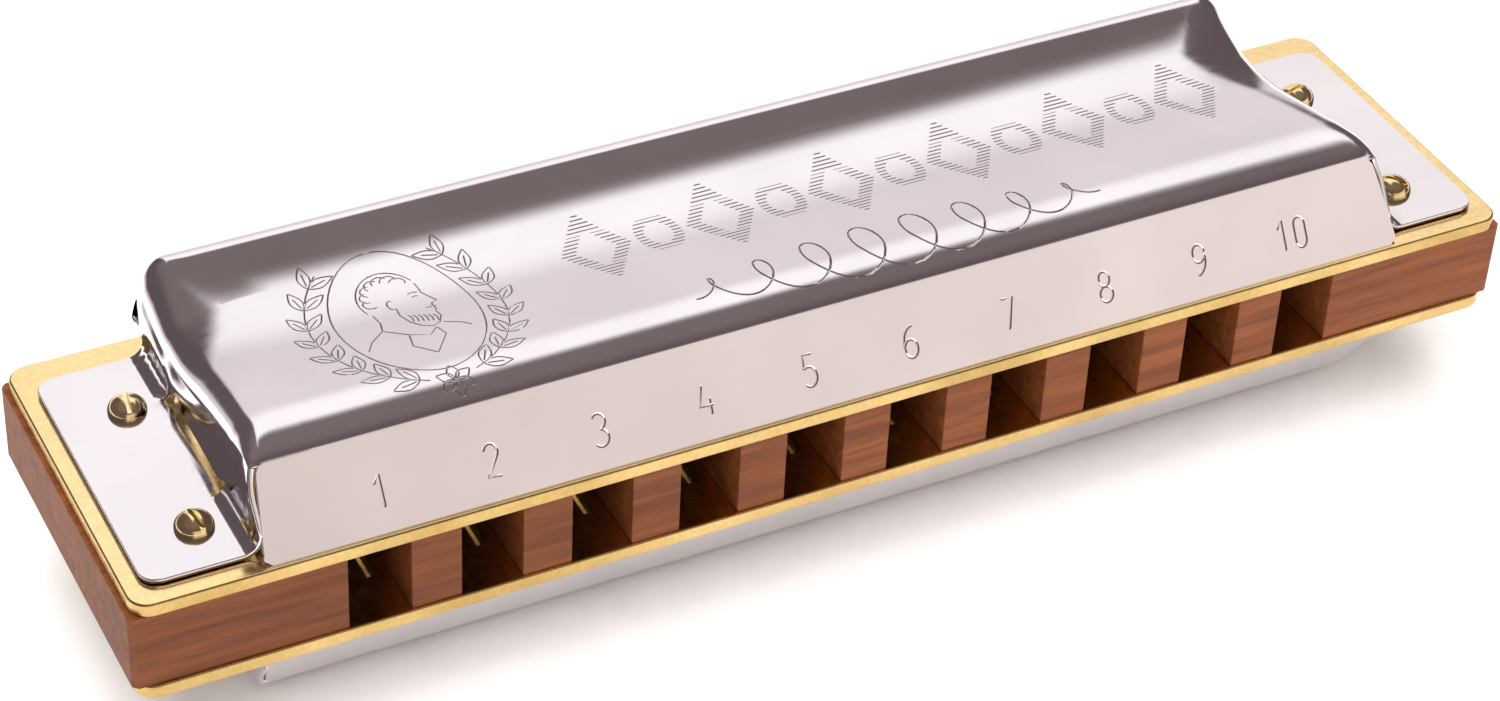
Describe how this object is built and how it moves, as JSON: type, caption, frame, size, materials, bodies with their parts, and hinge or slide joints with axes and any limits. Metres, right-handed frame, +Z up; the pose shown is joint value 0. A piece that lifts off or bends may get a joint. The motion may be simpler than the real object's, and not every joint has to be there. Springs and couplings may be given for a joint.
{
  "type": "diatonic harmonica",
  "caption": "Slim mouth organ: slotted wooden comb between brass reed plates, hinged reeds, and two ridged chromed cover plates with screwed end flanges.",
  "frame": {"origin": "centre of the bounding box's underside, under the middle of the harmonica as it lies on its lower cover", "axes": "+X along the holes from the low notes to the high notes, +Y from the mouth side to the rear, +Z up through the top cover"},
  "size_m": [0.0996, 0.0248, 0.0208],
  "materials": {
    "comb_wood": "close-grained reddish brown hardwood, lightly sealed, satin",
    "plate_brass": "rolled brass sheet, bright, with brushed edges",
    "reed_brass": "filed and polished reed brass",
    "rivet_brass": "plain drawn brass wire",
    "screw_brass": "polished brass",
    "cover_chrome": "polished chromed sheet"
  },
  "bodies": {
    "body": {"comb": "comb_wood", "blow_reed_plate": "plate_brass", "draw_reed_plate": "plate_brass", "top_cover": "cover_chrome", "bottom_cover": "cover_chrome", "top_cover_screws": "screw_brass", "bottom_cover_screws": "screw_brass", "top_plate_nails": "rivet_brass", "bottom_plate_nails": "rivet_brass", "blow_reed_pads": "reed_brass", "draw_reed_pads": "reed_brass", "blow_reed_rivets": "rivet_brass", "draw_reed_rivets": "rivet_brass"},
    "blow_reed_1": {"blow_reed_1": "reed_brass"},
    "blow_reed_2": {"blow_reed_2": "reed_brass"},
    "blow_reed_3": {"blow_reed_3": "reed_brass"},
    "blow_reed_4": {"blow_reed_4": "reed_brass"},
    "blow_reed_5": {"blow_reed_5": "reed_brass"},
    "blow_reed_6": {"blow_reed_6": "reed_brass"},
    "blow_reed_7": {"blow_reed_7": "reed_brass"},
    "blow_reed_8": {"blow_reed_8": "reed_brass"},
    "blow_reed_9": {"blow_reed_9": "reed_brass"},
    "blow_reed_10": {"blow_reed_10": "reed_brass"},
    "draw_reed_1": {"draw_reed_1": "reed_brass"},
    "draw_reed_2": {"draw_reed_2": "reed_brass"},
    "draw_reed_3": {"draw_reed_3": "reed_brass"},
    "draw_reed_4": {"draw_reed_4": "reed_brass"},
    "draw_reed_5": {"draw_reed_5": "reed_brass"},
    "draw_reed_6": {"draw_reed_6": "reed_brass"},
    "draw_reed_7": {"draw_reed_7": "reed_brass"},
    "draw_reed_8": {"draw_reed_8": "reed_brass"},
    "draw_reed_9": {"draw_reed_9": "reed_brass"},
    "draw_reed_10": {"draw_reed_10": "reed_brass"}
  },
  "joints": [
    {"name": "blow_reed_1_flex", "type": "hinge", "parent": "body", "child": "blow_reed_1", "pos_m": [-0.03375, 0.00645, 0.01307], "axis": [1, 0, 0], "range_deg": [-5, 5], "stiffness_Nm_per_rad": 0.012},
    {"name": "blow_reed_2_flex", "type": "hinge", "parent": "body", "child": "blow_reed_2", "pos_m": [-0.02625, 0.00583, 0.01307], "axis": [1, 0, 0], "range_deg": [-4.83, 4.83], "stiffness_Nm_per_rad": 0.0167},
    {"name": "blow_reed_3_flex", "type": "hinge", "parent": "body", "child": "blow_reed_3", "pos_m": [-0.01875, 0.00521, 0.01307], "axis": [1, 0, 0], "range_deg": [-4.66, 4.66], "stiffness_Nm_per_rad": 0.02057},
    {"name": "blow_reed_4_flex", "type": "hinge", "parent": "body", "child": "blow_reed_4", "pos_m": [-0.01125, 0.00459, 0.01307], "axis": [1, 0, 0], "range_deg": [-4.49, 4.49], "stiffness_Nm_per_rad": 0.03171},
    {"name": "blow_reed_5_flex", "type": "hinge", "parent": "body", "child": "blow_reed_5", "pos_m": [-0.00375, 0.00397, 0.01307], "axis": [1, 0, 0], "range_deg": [-4.32, 4.32], "stiffness_Nm_per_rad": 0.04323},
    {"name": "blow_reed_6_flex", "type": "hinge", "parent": "body", "child": "blow_reed_6", "pos_m": [0.00375, 0.00335, 0.01307], "axis": [1, 0, 0], "range_deg": [-4.15, 4.15], "stiffness_Nm_per_rad": 0.05208},
    {"name": "blow_reed_7_flex", "type": "hinge", "parent": "body", "child": "blow_reed_7", "pos_m": [0.01125, 0.00273, 0.01307], "axis": [1, 0, 0], "range_deg": [-3.98, 3.98], "stiffness_Nm_per_rad": 0.07834},
    {"name": "blow_reed_8_flex", "type": "hinge", "parent": "body", "child": "blow_reed_8", "pos_m": [0.01875, 0.00211, 0.01307], "axis": [1, 0, 0], "range_deg": [-3.81, 3.81], "stiffness_Nm_per_rad": 0.1039},
    {"name": "blow_reed_9_flex", "type": "hinge", "parent": "body", "child": "blow_reed_9", "pos_m": [0.02625, 0.00149, 0.01307], "axis": [1, 0, 0], "range_deg": [-3.64, 3.64], "stiffness_Nm_per_rad": 0.1215},
    {"name": "blow_reed_10_flex", "type": "hinge", "parent": "body", "child": "blow_reed_10", "pos_m": [0.03375, 0.00087, 0.01307], "axis": [1, 0, 0], "range_deg": [-3.47, 3.47], "stiffness_Nm_per_rad": 0.1765},
    {"name": "draw_reed_1_flex", "type": "hinge", "parent": "body", "child": "draw_reed_1", "pos_m": [-0.03375, -0.0082, 0.00647], "axis": [1, 0, 0], "range_deg": [-5, 5], "stiffness_Nm_per_rad": 0.01512},
    {"name": "draw_reed_2_flex", "type": "hinge", "parent": "body", "child": "draw_reed_2", "pos_m": [-0.02625, -0.0082, 0.00647], "axis": [1, 0, 0], "range_deg": [-4.83, 4.83], "stiffness_Nm_per_rad": 0.02361},
    {"name": "draw_reed_3_flex", "type": "hinge", "parent": "body", "child": "draw_reed_3", "pos_m": [-0.01875, -0.0082, 0.00647], "axis": [1, 0, 0], "range_deg": [-4.66, 4.66], "stiffness_Nm_per_rad": 0.03265},
    {"name": "draw_reed_4_flex", "type": "hinge", "parent": "body", "child": "draw_reed_4", "pos_m": [-0.01125, -0.0082, 0.00647], "axis": [1, 0, 0], "range_deg": [-4.49, 4.49], "stiffness_Nm_per_rad": 0.03995},
    {"name": "draw_reed_5_flex", "type": "hinge", "parent": "body", "child": "draw_reed_5", "pos_m": [-0.00375, -0.0082, 0.00647], "axis": [1, 0, 0], "range_deg": [-4.32, 4.32], "stiffness_Nm_per_rad": 0.04852},
    {"name": "draw_reed_6_flex", "type": "hinge", "parent": "body", "child": "draw_reed_6", "pos_m": [0.00375, -0.0082, 0.00647], "axis": [1, 0, 0], "range_deg": [-4.15, 4.15], "stiffness_Nm_per_rad": 0.06562},
    {"name": "draw_reed_7_flex", "type": "hinge", "parent": "body", "child": "draw_reed_7", "pos_m": [0.01125, -0.0082, 0.00647], "axis": [1, 0, 0], "range_deg": [-3.98, 3.98], "stiffness_Nm_per_rad": 0.0698},
    {"name": "draw_reed_8_flex", "type": "hinge", "parent": "body", "child": "draw_reed_8", "pos_m": [0.01875, -0.0082, 0.00647], "axis": [1, 0, 0], "range_deg": [-3.81, 3.81], "stiffness_Nm_per_rad": 0.0825},
    {"name": "draw_reed_9_flex", "type": "hinge", "parent": "body", "child": "draw_reed_9", "pos_m": [0.02625, -0.0082, 0.00647], "axis": [1, 0, 0], "range_deg": [-3.64, 3.64], "stiffness_Nm_per_rad": 0.0964},
    {"name": "draw_reed_10_flex", "type": "hinge", "parent": "body", "child": "draw_reed_10", "pos_m": [0.03375, -0.0082, 0.00647], "axis": [1, 0, 0], "range_deg": [-3.47, 3.47], "stiffness_Nm_per_rad": 0.1248}
  ]
}
